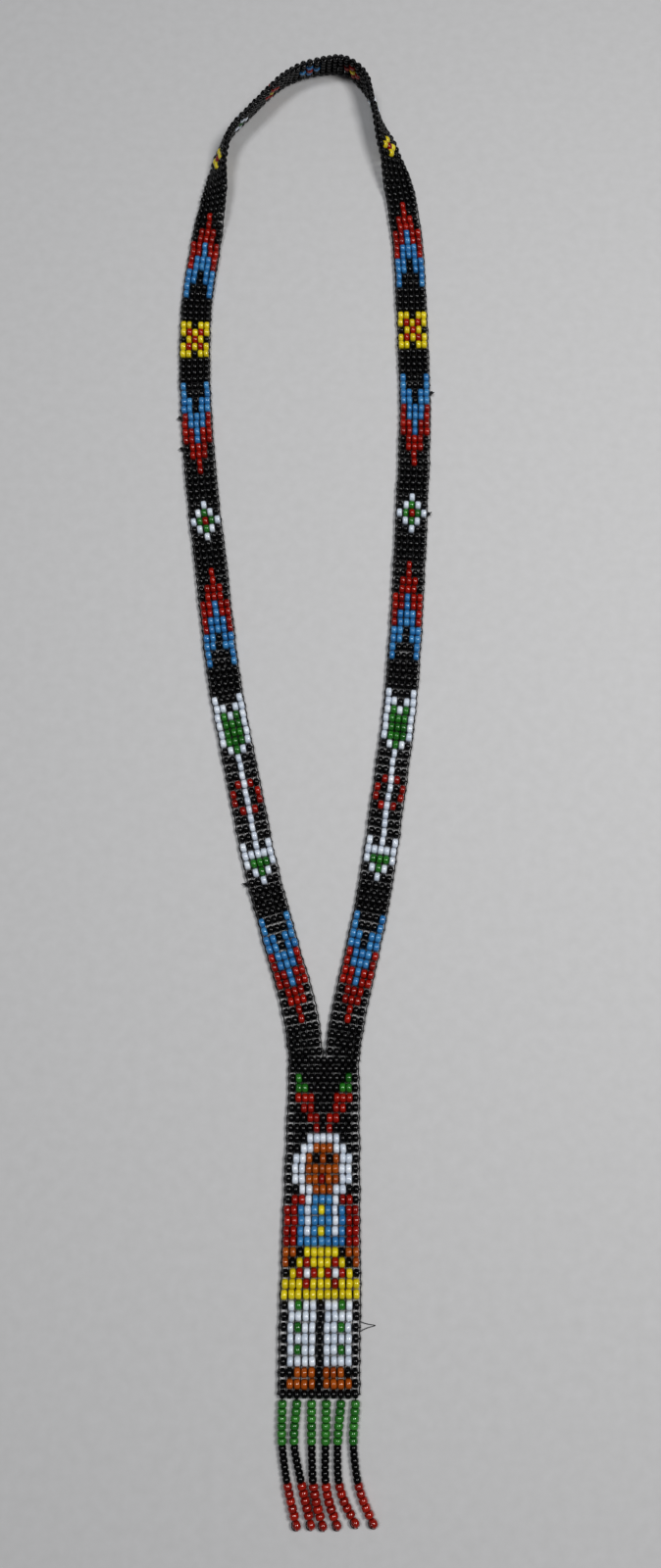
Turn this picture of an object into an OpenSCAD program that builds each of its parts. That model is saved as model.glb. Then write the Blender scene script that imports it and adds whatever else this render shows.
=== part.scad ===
// Loom-woven bead necklace: a pendant panel that shows a small figure, a neck band of five
// columns of beads that runs up one side, round the back of the neck and down the other, and
// a fringe of six strands. It lies flat on its back: +Z is the face, +Y the neck, -Y the fringe.

/* [Beads] */
// Outer radius of a coloured bead
bead_r = 1.05; // [0.9:0.05:1.05]
// Outer radius of a black bead, which is a size smaller
black_r = 0.83; // [0.7:0.01:0.83]
// Radius of the hole through a bead
hole_r = 0.4; // [0.36:0.02:0.5]
// Length of a coloured bead along its hole
bead_l = 1.45; // [1.2:0.05:1.45]
// Length of a black bead along its hole
black_l = 1.24; // [1.1:0.02:1.24]

/* [Weave] */
// Distance between two columns of beads
col_pitch = 1.6; // [1.6:0.05:1.8]
// Height that a row with coloured beads takes along the weave
row_h = 2.3; // [2.3:0.05:2.5]
// Height that an all-black row takes along the weave
black_row_h = 1.97; // [1.97:0.03:2.2]
// Extra height of a row in the legs, where the beads are the largest
leg_extra = 0.11; // [0:0.01:0.2]
// Distance between two columns at the top of the panel, where all the beads are small
top_pitch = 1.5; // [1.5:0.02:1.6]
// Distance between two columns at the bottom of the panel
bottom_pitch = 1.68; // [1.6:0.02:1.7]
// How far the bottom of the panel lies to the left of the top
lean = 1.15; // [0:0.05:1.3]
// Rows of weft thread in one stretch of the flat weave
flat_stretch = 8; // [4:1:10]

/* [Threads] */
// Radius of the weft, two passes of thread through each bead
weft_r = 0.3; // [0.2:0.02:0.34]
// Thickness of a warp thread where it is squeezed between two columns
warp_t = 0.08; // [0.06:0.01:0.1]
// Height of the warp in a gap between columns, most of the way from face to back
warp_h = 1.9; // [1.0:0.1:1.9]
// Height of the warp near a fold line, where less of it leaves room to fold
fold_h = 1.0; // [0.7:0.1:1.0]
// Radius of the thread inside a fringe strand
strand_r = 0.26; // [0.2:0.02:0.28]

/* [Fringe] */
// Distance between two green or red beads of a fringe strand
strand_pitch = 1.55; // [1.55:0.01:1.62]
// Distance between two black beads of a fringe strand
black_pitch = 1.32; // [1.32:0.01:1.4]

/* [Hidden] */
// Place of the panel's top row, which puts the origin under the middle of the whole necklace
LAY = [5.3, -89.9, 1.07];

BLACK = "#0c0c0e";
RED = "#b02614";
BLUE = "#4b96d7";
WHITE = "#d7dee8";
GREEN = "#2f8430";
YELLOW = "#e0cc20";
ORANGE = "#be6018";
THREAD = "#16161a";

// Each string is one row of beads, and each letter is a bead's colour: K is black.
// The panel's rows run from the neck down to the fringe.
FIGURE = [
    "KKKKKKKKKKK", "KKKKKKKKKKK", "KGKKKKKKKGK", "KGGKKKKKGGK", // leaves
    "KRRRKKKRRRK", "KKRRKKKRRKK", "KKKRRKRRKKK", "KKKKRKRKKKK", // crest
    "KKKWWWWWKKK", "KKWWOOOWWKK", "KWWOKOKOWWK",                 // hair and eyes
    "KWWOOOOOWWK", "KWWOOROOWWK", "KKWWOOOWWKK",                 // face and mouth
    "KRRWBBBWRRK", "RRBWBYBWBRR", "RRBWBBBWBRR",                 // shirt and sleeves
    "RRBWBYBWBRR", "RRBBBBBBBRR",
    "OOKYYYYYKOO", "OKYRYYYRYKO", "KYRWRYRWRYK",                 // hands and sash
    "YYYRYYYRYYY", "YYYYYYYYYYY",
    "KWGWWKWWGWK", "KWWWWKWWWWK", "KWGWWKWWGWK",                 // trousers
    "KWWWWKWWWWK", "KWGWWKWWGWK", "KWWWWKWWWWK",
    "KKOOOKOOOKK", "KOOOOKOOOOK", "KKKKKKKKKKK",                 // feet and lower edge
];
// The neck band's rows run from the panel up to the back of the neck, and then down again.
ARROW = [
    "KKRKK", "KKRKK", "KRRRK", "KRRRK", "RRBRR", "RRBRR",
    "RBBBR", "RBBBR", "BBKBB", "BBKBB", "BKKKB", "BKKKB",
];
SHIELD = [
    "KKWKK", "KWGWK", "WGGGW", "WWWWW", "WKWKW", "KKWKK", "KKWKK", "KKWKK",
    "KRWRK", "RKWKR", "RKWKR", "KRWRK", "KKWKK", "KKWKK", "KKWKK", "KWGWK",
    "WGGGW", "WGGGW", "WGGGW", "WGWGW", "WWKWW", "WKKKW",
];
WINDOW = ["YYKYY", "YRYRY", "KYRYK", "YRYRY", "YYKYY"];
BLOSSOM = ["KKWKK", "KWGWK", "WGRGW", "KWGWK", "KKWKK"];
function blank(n) = [for (i = [1:n]) "KKKKK"];
function backwards(rows) = [for (i = [len(rows) - 1:-1:0]) rows[i]];
function flower(petal, heart) =
    [str("KK", petal, "KK"), str("K", petal, heart, petal, "K"), str("KK", petal, "KK")];
SIDE = concat(
    blank(4), ARROW, blank(4), SHIELD, blank(4), backwards(ARROW), blank(4), BLOSSOM, blank(4), ARROW,
    blank(4), WINDOW, blank(4), backwards(ARROW), blank(7), flower("Y", "R"), blank(4),
    flower("W", "G"), blank(4), flower("R", "Y"), blank(4)
);
BAND = concat(SIDE, flower("B", "R"), backwards(SIDE));
BAND_COLS = 5;
PANEL_COLS = 11;
LAST = len(BAND) - 1;

// Rows whose weft is a fold line: the panel's top row, one low in the panel, the panel's
// bottom row, and one on each side of the widest part of the neck band.
WAIST = 23;
FOLD = 84;
FOLD_TILT = 2.5;
// Row of the flower at which the band has rolled on to its edge, and the first and the last row
// of the stretch that rolls and stands.
EDGE = 116;
RISE = 101;
SINK = 172;

// The neck band's centre line as it lies: x, y, heading clockwise from +Y, roll on to its edge.
SPAN_X = 60.5;
LEFT_FOLD = [-36, 184.5, -FOLD_TILT, 0];
LEFT_EDGE = [-30.2, 250, 10, 58];
RIGHT_EDGE = [17.9, 254.6, 165, 42];
RIGHT_FOLD = [-36 + SPAN_X, 184.5 + SPAN_X * tan(FOLD_TILT), 180 - FOLD_TILT, 0];
PANEL_TOP_X = -0.1;
HALF_BAND = (BAND_COLS + 1) / 2 * top_pitch;
GOING_UP = [
    [PANEL_TOP_X - HALF_BAND, 0, 0, 0], [-6.5, 13, -13, 0], [-14.5, 41, -14, 0],
    [-24.5, 87, -12, 0], [-30.5, 129, -8, 0], LEFT_FOLD,
];
TURNING_IN = [
    LEFT_FOLD, [-35.7, 209, 4, 0], [-33.5, 227, 7, 0], [-31.9, 237, 7, 25], LEFT_EDGE,
];
ROUND_THE_NECK = [
    LEFT_EDGE, [-28.4, 256.5, 22, 68], [-23.8, 263.5, 41, 67], [-14.8, 274, 43, 67],
    [-3, 280.8, 78, 70], [4.6, 281.6, 96, 74], [10.6, 277, 142, 84], [14.5, 265.5, 163, 74],
    RIGHT_EDGE,
];
TURNING_OUT = [
    RIGHT_EDGE, [21.5, 240, 170, 2], [22.9, 229, 174, 0], [24.1, 206, 178, 0], RIGHT_FOLD,
];
GOING_DOWN = [
    RIGHT_FOLD, [24, 158, 182.5, 0], [21.3, 112, 184, 0], [18.5, 82, 188, 0], [12.2, 40, 190, 0],
    [6.3, 13, 192, 0], [PANEL_TOP_X + HALF_BAND, 0, 180, 0],
];

// A smooth curve between two stops, which keeps their headings; t runs from 0 to 1.
STEPS = 12;
function way(h) = [sin(h), cos(h)];
function ease(t) = 3 * t ^ 2 - 2 * t ^ 3;
function curve_at(a, b, t) =
    let (p = [a.x, a.y], q = [b.x, b.y], pull = norm(q - p))
    (1 - ease(t)) * p + ease(t) * q
    + (t ^ 3 - 2 * t ^ 2 + t) * pull * way(a[2]) + (t ^ 3 - t ^ 2) * pull * way(b[2]);
function traced(stops) = [
    for (i = [0:len(stops) - 2], k = [0:STEPS])
        if (k < STEPS || i == len(stops) - 2)
            let (a = stops[i], b = stops[i + 1], t = k / STEPS, p = curve_at(a, b, t))
            [p.x, p.y, a[3] + (b[3] - a[3]) * ease(t)]
];
// Running totals: the distance along a line of points, and the places of rows of given heights.
function plan_gap(p, q) = norm([q.x - p.x, q.y - p.y]);
function lengths(line) = [
    for (i = 0, s = 0; i < len(line);
         i = i + 1, s = s + (i < len(line) ? plan_gap(line[i - 1], line[i]) : 0))
        s
];
function places(heights) = [
    for (i = 0, s = 0; i < len(heights);
         i = i + 1, s = s + (i < len(heights) ? (heights[i - 1] + heights[i]) / 2 : 0))
        s
];
function column(run, line, k) = [for (i = [0:len(line) - 1]) [run[i], line[i][k]]];

// Rows set out along a line of stops, spread evenly so that they fill it from end to end.
function all_black(row) = len([for (c = row) if (c != "K") c]) == 0;
function height_of(row) = all_black(row) ? black_row_h : row_h;
// Rows lie closer together where the band stands on its edge.
function tight(row) = all_black(row) ? black_row_h - 0.18 : row_h - 0.13;
function rows_along(stops, heights) =
    let (
        line = traced(stops), run = lengths(line), at = places(heights),
        total = run[len(run) - 1], spread = total / at[len(at) - 1],
        xs = column(run, line, 0), ys = column(run, line, 1), rolls = column(run, line, 2)
    )
    [
        for (s = at * spread)
            let (
                a = max(s - 0.3, 0), b = min(s + 0.3, total),
                dx = lookup(b, xs) - lookup(a, xs), dy = lookup(b, ys) - lookup(a, ys)
            )
            [lookup(s, xs), lookup(s, ys), atan2(dx, dy), lookup(s, rolls)]
    ];
function heights(a, b) = [for (i = [a:b]) height_of(BAND[i])];
function after_first(rows) = [for (i = [1:len(rows) - 1]) rows[i]];
UP = rows_along(GOING_UP, concat([black_row_h], heights(0, FOLD)));
TURN_IN = rows_along(TURNING_IN, heights(FOLD, EDGE));
OVER = rows_along(ROUND_THE_NECK, [for (i = [EDGE:LAST - EDGE]) tight(BAND[i])]);
TURN_OUT = rows_along(TURNING_OUT, heights(LAST - EDGE, LAST - FOLD));
DOWN = rows_along(GOING_DOWN, concat(heights(LAST - FOLD, LAST), [black_row_h]));
// Row 0 of this list is the panel's top row under the left strap, and so is the last row on
// the right, so the band's own rows are numbered one on from here.
PLACED = concat(
    UP, after_first(TURN_IN), after_first(OVER), after_first(TURN_OUT), after_first(DOWN)
);
function heading(i) = PLACED[i + 1][2];
function roll(i) = PLACED[i + 1][3];
// Height of the centre line where the band has rolled part way on to its edge.
EDGE_LIFT = BAND_COLS / 2 * col_pitch + 0.12;
function lift(tilt) = bead_r * cos(tilt) + EDGE_LIFT * sin(tilt) - bead_r;
function spot(i) = [PLACED[i + 1].x, PLACED[i + 1].y, lift(roll(i))];
// Directions across the band in plan, and places on it that are off its centre line.
function across(i) = [cos(heading(i)), -sin(heading(i))];
function beside(i, off) = [spot(i).x, spot(i).y] + across(i) * off;

// The panel's rows, from its top row at y = 0 downwards, and the spacing of its columns, which
// is widest in the legs. The middle column drifts to the left on the way down.
BOTTOM = len(FIGURE) - 1;
function extra(i) = i < 2 || i == BOTTOM ? 0 : i > WAIST ? leg_extra : 0.03;
PANEL_Y = -places([for (i = [0:BOTTOM]) height_of(FIGURE[i]) + extra(i)]);
function pitch(i) = lookup(i, [[0, top_pitch], [WAIST, bottom_pitch]]);
function panel_x(i, col) = PANEL_TOP_X - lean * i / BOTTOM + (col - 5) * pitch(i);

// Gaps between columns in which a thread of the next piece loops round the row's weft.
BAND_EYES = [1, 4];
PANEL_EYES = [1, 4, 7, 10];
STRAND_EYES = [1, 3, 5, 6, 8, 10];
EYE_IN = weft_r + 0.04;
EYE_OUT = weft_r + 0.28;
EYE_T = warp_t + 0.02;
// Distances from a fold line at which threads start and stop: on the eye, clear of the other
// piece's threads, and just past the weft that the eye is on.
ON_EYE = 0.45;
CLEAR = 1.3;
PAST = 0.3;
SLIT = 0.03;

// Fringe strands: panel column, and the headings of the green, black and red stretches.
STRANDS = [
    [0, 181, 171, 164], [2, 186, 167, 165], [4, 180, 178, 162],
    [6, 181, 181, 158], [8, 186, 179, 149], [10, 185, 173, 153],
];
OF_ONE_COLOUR = 6;
IN_LINE = 17;
FIRST_BEAD = 2.05;
NECK_OF_LOOP = 0.85;
STOP_DROP = 2.2;
LOOP_R = 0.09;
function bend(s, n) =
    lookup(n, [[0, s[1]], [3, s[1]], [7.5, s[2]], [9.5, s[2]], [15.5, s[3]]]);
function half_step(n) = floor(n / OF_ONE_COLOUR) == 1 ? black_pitch / 2 : strand_pitch / 2;
function strand_points(s) = [
    for (n = 0, p = [panel_x(BOTTOM, s[0]), PANEL_Y[BOTTOM] - FIRST_BEAD]; n < IN_LINE;
         n = n + 1,
         p = p + (half_step(n - 1) + half_step(n)) * way((bend(s, n - 1) + bend(s, n)) / 2))
        p
];

$fn = 24;

// A round bead with its hole along X, and its two outer edges rounded off in a bevel.
BEVEL = 0.3;
module bead(r, l = bead_l) {
    half = l / 2;
    rotate([0, 90, 0])
        rotate_extrude()
            polygon([
                [hole_r, -half], [r - BEVEL, -half], [r, BEVEL - half],
                [r, half - BEVEL], [r - BEVEL, half], [hole_r, half],
            ]);
}

module bead_of(letter) {
    if (letter == "K")
        bead(black_r, black_l);
    else
        bead(bead_r);
}

// Beads of one colour in some rows of the panel, between two of its columns.
module panel_beads(letter, rows, cols = [0, 10]) {
    for (i = rows, c = [cols[0]:cols[1]])
        if (FIGURE[i][c] == letter)
            translate([panel_x(i, c), PANEL_Y[i], 0])
                bead_of(letter);
}

// Beads of one colour in some rows of the band.
module at_row(i) {
    translate(spot(i))
        rotate([0, -roll(i), -heading(i)])
            children();
}
module band_beads(letter, rows) {
    for (i = rows)
        at_row(i)
            for (c = [0:BAND_COLS - 1])
                if (BAND[i][c] == letter)
                    translate([(c - (BAND_COLS - 1) / 2) * col_pitch, 0, 0])
                        bead_of(letter);
}

// A straight piece of thread from one point to another.
module thread(p, q, r) {
    d = q - p;
    translate(p)
        rotate([0, acos(d.z / norm(d)), atan2(d.y, d.x)])
            cylinder(h = norm(d), r = r);
}
// The weft of one row, through all its beads, lying along X. It is two passes of thread, one
// over the other, and they are twisted into one round cord in a row that folds.
module weft(w, folds = false) {
    if (folds)
        translate([-w / 2, 0, 0])
            rotate([0, 90, 0])
                cylinder(h = w, r = weft_r);
    else
        cube([w, weft_r * 1.2, weft_r * 1.8], center = true);
}
// A turn of thread round another row's weft, lying in the gap between two columns, and the
// tail of it that runs back along +Y or -Y to the weft of the row that it holds.
module eye(tail) {
    rotate([0, 90, 0])
        translate([0, 0, -EYE_T / 2])
            difference() {
                cylinder(h = EYE_T, r = EYE_OUT);
                translate([0, 0, -1])
                    cylinder(h = 2, r = EYE_IN);
            }
    translate([-warp_t / 2, tail > 0 ? ON_EYE : tail, -EYE_OUT / 2])
        cube([warp_t, abs(tail) - ON_EYE, EYE_OUT]);
}

// The warp is lower in a stretch that ends at a fold line.
function height_for(from, to) = from == "cut" && to == "cut" ? warp_h : fold_h;

// One side of an edge warp of the panel, from y1 down past some rows to y0.
function panel_edge(a, b, col, y1, y0, off) = concat(
    [[panel_x(a, col) + off, y1]],
    [for (i = [a:b]) [panel_x(i, col) + off, PANEL_Y[i]]],
    [[panel_x(b, col) + off, y0]]
);

// The edge warps and the wefts of some rows of the panel. Each end is "cut" where the next
// stretch goes on, "holds" where its last row is folded on, or "hangs" where it is looped on.
module panel_stretch(a, b, top, bottom) {
    y1 = top == "hangs" ? PANEL_Y[a - 1] - CLEAR
        : top == "holds" ? PANEL_Y[a] + PAST
        : (PANEL_Y[a - 1] + PANEL_Y[a]) / 2 - SLIT;
    y0 = bottom == "holds" ? PANEL_Y[b] - PAST : (PANEL_Y[b] + PANEL_Y[b + 1]) / 2 + SLIT;
    h = height_for(top, bottom);
    for (col = [-0.5, PANEL_COLS - 0.5])
        translate([0, 0, -h / 2])
            linear_extrude(h)
                polygon(concat(
                    panel_edge(a, b, col, y1, y0, -warp_t / 2),
                    backwards(panel_edge(a, b, col, y1, y0, warp_t / 2))
                ));
    if (top == "hangs")
        for (gap = PANEL_EYES)
            translate([panel_x(a - 1, gap - 0.5), PANEL_Y[a - 1], 0])
                eye(PANEL_Y[a] - PANEL_Y[a - 1] - PAST / 2);
    for (i = [a:b])
        translate([panel_x(i, 5), PANEL_Y[i], 0])
            weft(PANEL_COLS * pitch(i), i == a && top == "holds" || i == b && bottom == "holds");
}

// One edge warp that follows flat rows of the band. It starts f0 of the way from the row
// before them to the first, and ends f1 of the way from the last to the row after.
function mix(p, q, f) = p + (q - p) * f;
module warp(a, b, f0, f1, off, h) {
    function side(o) = concat(
        [mix(beside(a - 1, o), beside(a, o), f0)],
        [for (i = [a:b]) beside(i, o)],
        [mix(beside(b, o), beside(b + 1, o), f1)]
    );
    right = side(off + warp_t / 2);
    left = side(off - warp_t / 2);
    translate([0, 0, -h / 2])
        linear_extrude(h)
            polygon(concat(right, backwards(left)));
}
function share(end) =
    end == "hangs" ? CLEAR / black_row_h : end == "holds" ? 1 - PAST / black_row_h : 0.5 + SLIT;
function pitch_where(i) = i < 0 || i > LAST ? top_pitch : col_pitch;
module band_stretch(a, b, from, to) {
    for (side = [-1, 1])
        warp(a, b, share(from), 1 - share(to), side * BAND_COLS / 2 * col_pitch,
             height_for(from, to));
    for (gap = BAND_EYES) {
        if (from == "hangs")
            at_row(a - 1)
                translate([(gap - BAND_COLS / 2) * pitch_where(a - 1), 0, 0])
                    eye(black_row_h + PAST / 2);
        if (to == "hangs")
            at_row(b + 1)
                translate([(gap - BAND_COLS / 2) * pitch_where(b + 1), 0, 0])
                    eye(-black_row_h - PAST / 2);
    }
    for (i = [a:b])
        at_row(i)
            weft(BAND_COLS * col_pitch, i == a && from == "holds" || i == b && to == "holds");
}
module flat_band(a, b, from, to) {
    count = b - a + 1;
    parts = ceil(count / flat_stretch);
    for (k = [0:parts - 1])
        band_stretch(
            a + floor(k * count / parts), a + floor((k + 1) * count / parts) - 1,
            k == 0 ? from : "cut", k == parts - 1 ? to : "cut"
        );
}
// Where the band rolls on to its edge each row has its own short lengths of warp thread.
module rolled_band(a, b) {
    for (i = [a:b])
        at_row(i) {
            weft(BAND_COLS * col_pitch);
            for (side = [-1, 1])
                translate([side * BAND_COLS / 2 * col_pitch, 0, 0])
                    cube([warp_t, height_of(BAND[i]) * 0.7, warp_h], center = true);
        }
}

// Beads of one colour in a strand: 0 is green, 1 black and 2 red. The last red bead is the
// stop, which lies across the strand, and the thread passes round it and through it.
module on_strand(s, n) {
    p = strand_points(s)[n];
    translate([p.x, p.y, 0])
        rotate([0, 0, -bend(s, n)])
            children();
}
module strand_beads(k, colour) {
    s = STRANDS[k];
    for (n = [colour * OF_ONE_COLOUR:min(colour * OF_ONE_COLOUR + 5, IN_LINE - 1)])
        on_strand(s, n)
            rotate([0, 0, 90])
                bead_of(colour == 1 ? "K" : "");
    if (colour == 2)
        on_strand(s, IN_LINE - 1)
            translate([0, STOP_DROP, 0])
                bead(bead_r);
}
module strand_thread(k) {
    s = STRANDS[k];
    points = strand_points(s);
    x = panel_x(BOTTOM, STRAND_EYES[k] - 0.5);
    y = PANEL_Y[BOTTOM];
    function side(o) = [
        [points[0].x + o, y - 1.08],
        for (n = [0:IN_LINE - 1])
            points[n] + o * [-way(bend(s, n)).y, way(bend(s, n)).x],
        points[IN_LINE - 1] + NECK_OF_LOOP * way(bend(s, IN_LINE))
            + o * [-way(bend(s, IN_LINE)).y, way(bend(s, IN_LINE)).x],
    ];
    left = side(-strand_r);
    right = side(strand_r);
    translate([x, y, 0])
        eye(-1.25);
    translate([min(x, points[0].x), y - 1.2, -0.15])
        cube([abs(points[0].x - x), 0.24, 0.3]);
    translate([0, 0, -strand_r])
        linear_extrude(2 * strand_r)
            polygon(concat(right, backwards(left)));
    on_strand(s, IN_LINE - 1) {
        for (side = [-1, 1]) {
            thread([0, NECK_OF_LOOP - 0.1, 0], [side * 0.95, STOP_DROP - 0.85, 0], LOOP_R);
            thread([side * 0.95, STOP_DROP - 0.95, 0], [side * 0.95, STOP_DROP, 0], LOOP_R + 0.02);
        }
        thread([-1.05, STOP_DROP, 0], [1.05, STOP_DROP, 0], LOOP_R + 0.06);
    }
}

// The figure on the panel, with black beads all round it
module figure_black_beads() {
    color(BLACK) {
        panel_beads("K", [0:9]);
        panel_beads("K", [10:10], [0, 3]);
        panel_beads("K", [10:10], [7, 10]);
        panel_beads("K", [11:WAIST]);
    }
}
module leaf_green_beads() {
    color(GREEN) panel_beads("G", [2:3]);
}
module crest_red_beads() {
    color(RED) panel_beads("R", [4:7]);
}
module hair_white_beads() {
    color(WHITE) panel_beads("W", [8:13]);
}
module face_orange_beads() {
    color(ORANGE) panel_beads("O", [9:13]);
}
module eye_black_beads() {
    color(BLACK) panel_beads("K", [10:10], [4, 6]);
}
module mouth_red_bead() {
    color(RED) panel_beads("R", [12:12]);
}
module sleeve_red_beads() {
    color(RED) panel_beads("R", [14:18]);
}
module shirt_blue_beads() {
    color(BLUE) panel_beads("B", [14:18]);
}
module shirt_white_beads() {
    color(WHITE) panel_beads("W", [14:17]);
}
module button_yellow_beads() {
    color(YELLOW) panel_beads("Y", [15:17]);
}
module hand_orange_beads() {
    color(ORANGE) panel_beads("O", [19:20]);
}
module sash_yellow_beads() {
    color(YELLOW) panel_beads("Y", [19:WAIST]);
}
module sash_red_beads() {
    color(RED) panel_beads("R", [20:WAIST]);
}
module sash_white_beads() {
    color(WHITE) panel_beads("W", [20:WAIST]);
}
module figure_net() {
    color(THREAD) {
        panel_stretch(0, 7, "holds", "cut");
        panel_stretch(8, 15, "cut", "cut");
        panel_stretch(16, WAIST, "cut", "holds");
    }
}

// The legs and feet, below the lower fold
module legs_black_beads() {
    color(BLACK) panel_beads("K", [WAIST + 1:BOTTOM]);
}
module trouser_white_beads() {
    color(WHITE) panel_beads("W", [WAIST + 1:BOTTOM]);
}
module trouser_green_beads() {
    color(GREEN) panel_beads("G", [WAIST + 1:BOTTOM]);
}
module foot_orange_beads() {
    color(ORANGE) panel_beads("O", [WAIST + 1:BOTTOM]);
}
module legs_net() {
    color(THREAD)
        panel_stretch(WAIST + 1, BOTTOM, "hangs", "holds");
}

// The two straps, from the panel to the upper fold
LEFT_ROWS = [0:FOLD];
RIGHT_ROWS = [LAST - FOLD:LAST];
module strap_beads(letter) {
    band_beads(letter, LEFT_ROWS);
    band_beads(letter, RIGHT_ROWS);
}
module strap_black_beads() {
    color(BLACK) strap_beads("K");
}
module strap_red_beads() {
    color(RED) strap_beads("R");
}
module strap_blue_beads() {
    color(BLUE) strap_beads("B");
}
module strap_white_beads() {
    color(WHITE) strap_beads("W");
}
module strap_green_beads() {
    color(GREEN) strap_beads("G");
}
module strap_net() {
    color(THREAD) {
        flat_band(0, FOLD, "hangs", "holds");
        flat_band(LAST - FOLD, LAST, "holds", "hangs");
    }
}
// Knots where the weft was tied off: row between which they sit, and side of the band
KNOTS = [[20, -1], [74, -1], [78, -1], [LAST - 80, -1], [LAST - 64, -1]];
module strap_knots() {
    color(THREAD)
        for (k = KNOTS)
            at_row(k[0])
                translate([k[1] * (BAND_COLS / 2 * col_pitch + 0.65), 0, 0])
                    sphere(r = 0.42);
}

// The band between the upper folds, round the back of the neck
NECK_ROWS = [FOLD + 1:LAST - FOLD - 1];
module neck_black_beads() {
    color(BLACK) band_beads("K", NECK_ROWS);
}
module neck_yellow_beads() {
    color(YELLOW) band_beads("Y", NECK_ROWS);
}
module neck_red_beads() {
    color(RED) band_beads("R", NECK_ROWS);
}
module neck_blue_beads() {
    color(BLUE) band_beads("B", NECK_ROWS);
}
module neck_white_beads() {
    color(WHITE) band_beads("W", NECK_ROWS);
}
module neck_green_beads() {
    color(GREEN) band_beads("G", NECK_ROWS);
}
module neck_net() {
    color(THREAD) {
        flat_band(FOLD + 1, RISE - 1, "hangs", "cut");
        rolled_band(RISE, SINK);
        flat_band(SINK + 1, LAST - FOLD - 1, "cut", "hangs");
    }
}

// The six strands of the fringe
module strand_1_green_beads() {
    color(GREEN) strand_beads(0, 0);
}
module strand_1_black_beads() {
    color(BLACK) strand_beads(0, 1);
}
module strand_1_red_beads() {
    color(RED) strand_beads(0, 2);
}
module strand_1_thread() {
    color(THREAD) strand_thread(0);
}
module strand_2_green_beads() {
    color(GREEN) strand_beads(1, 0);
}
module strand_2_black_beads() {
    color(BLACK) strand_beads(1, 1);
}
module strand_2_red_beads() {
    color(RED) strand_beads(1, 2);
}
module strand_2_thread() {
    color(THREAD) strand_thread(1);
}
module strand_3_green_beads() {
    color(GREEN) strand_beads(2, 0);
}
module strand_3_black_beads() {
    color(BLACK) strand_beads(2, 1);
}
module strand_3_red_beads() {
    color(RED) strand_beads(2, 2);
}
module strand_3_thread() {
    color(THREAD) strand_thread(2);
}
module strand_4_green_beads() {
    color(GREEN) strand_beads(3, 0);
}
module strand_4_black_beads() {
    color(BLACK) strand_beads(3, 1);
}
module strand_4_red_beads() {
    color(RED) strand_beads(3, 2);
}
module strand_4_thread() {
    color(THREAD) strand_thread(3);
}
module strand_5_green_beads() {
    color(GREEN) strand_beads(4, 0);
}
module strand_5_black_beads() {
    color(BLACK) strand_beads(4, 1);
}
module strand_5_red_beads() {
    color(RED) strand_beads(4, 2);
}
module strand_5_thread() {
    color(THREAD) strand_thread(4);
}
module strand_6_green_beads() {
    color(GREEN) strand_beads(5, 0);
}
module strand_6_black_beads() {
    color(BLACK) strand_beads(5, 1);
}
module strand_6_red_beads() {
    color(RED) strand_beads(5, 2);
}
module strand_6_thread() {
    color(THREAD) strand_thread(5);
}

translate(LAY) figure_black_beads();
translate(LAY) leaf_green_beads();
translate(LAY) crest_red_beads();
translate(LAY) hair_white_beads();
translate(LAY) face_orange_beads();
translate(LAY) eye_black_beads();
translate(LAY) mouth_red_bead();
translate(LAY) sleeve_red_beads();
translate(LAY) shirt_blue_beads();
translate(LAY) shirt_white_beads();
translate(LAY) button_yellow_beads();
translate(LAY) hand_orange_beads();
translate(LAY) sash_yellow_beads();
translate(LAY) sash_red_beads();
translate(LAY) sash_white_beads();
translate(LAY) figure_net();
translate(LAY) legs_black_beads();
translate(LAY) trouser_white_beads();
translate(LAY) trouser_green_beads();
translate(LAY) foot_orange_beads();
translate(LAY) legs_net();
translate(LAY) strap_black_beads();
translate(LAY) strap_red_beads();
translate(LAY) strap_blue_beads();
translate(LAY) strap_white_beads();
translate(LAY) strap_green_beads();
translate(LAY) strap_net();
translate(LAY) strap_knots();
translate(LAY) neck_black_beads();
translate(LAY) neck_yellow_beads();
translate(LAY) neck_red_beads();
translate(LAY) neck_blue_beads();
translate(LAY) neck_white_beads();
translate(LAY) neck_green_beads();
translate(LAY) neck_net();
translate(LAY) strand_1_green_beads();
translate(LAY) strand_1_black_beads();
translate(LAY) strand_1_red_beads();
translate(LAY) strand_1_thread();
translate(LAY) strand_2_green_beads();
translate(LAY) strand_2_black_beads();
translate(LAY) strand_2_red_beads();
translate(LAY) strand_2_thread();
translate(LAY) strand_3_green_beads();
translate(LAY) strand_3_black_beads();
translate(LAY) strand_3_red_beads();
translate(LAY) strand_3_thread();
translate(LAY) strand_4_green_beads();
translate(LAY) strand_4_black_beads();
translate(LAY) strand_4_red_beads();
translate(LAY) strand_4_thread();
translate(LAY) strand_5_green_beads();
translate(LAY) strand_5_black_beads();
translate(LAY) strand_5_red_beads();
translate(LAY) strand_5_thread();
translate(LAY) strand_6_green_beads();
translate(LAY) strand_6_black_beads();
translate(LAY) strand_6_red_beads();
translate(LAY) strand_6_thread();
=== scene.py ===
"""Loom-woven bead necklace lying on its back: a panel that shows a small standing figure, a
patterned band that runs up, round the back of the neck and down, and a fringe of six strands.
Lengths in the sections are millimetres, and each mesh is put down in metres."""

import math

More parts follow.
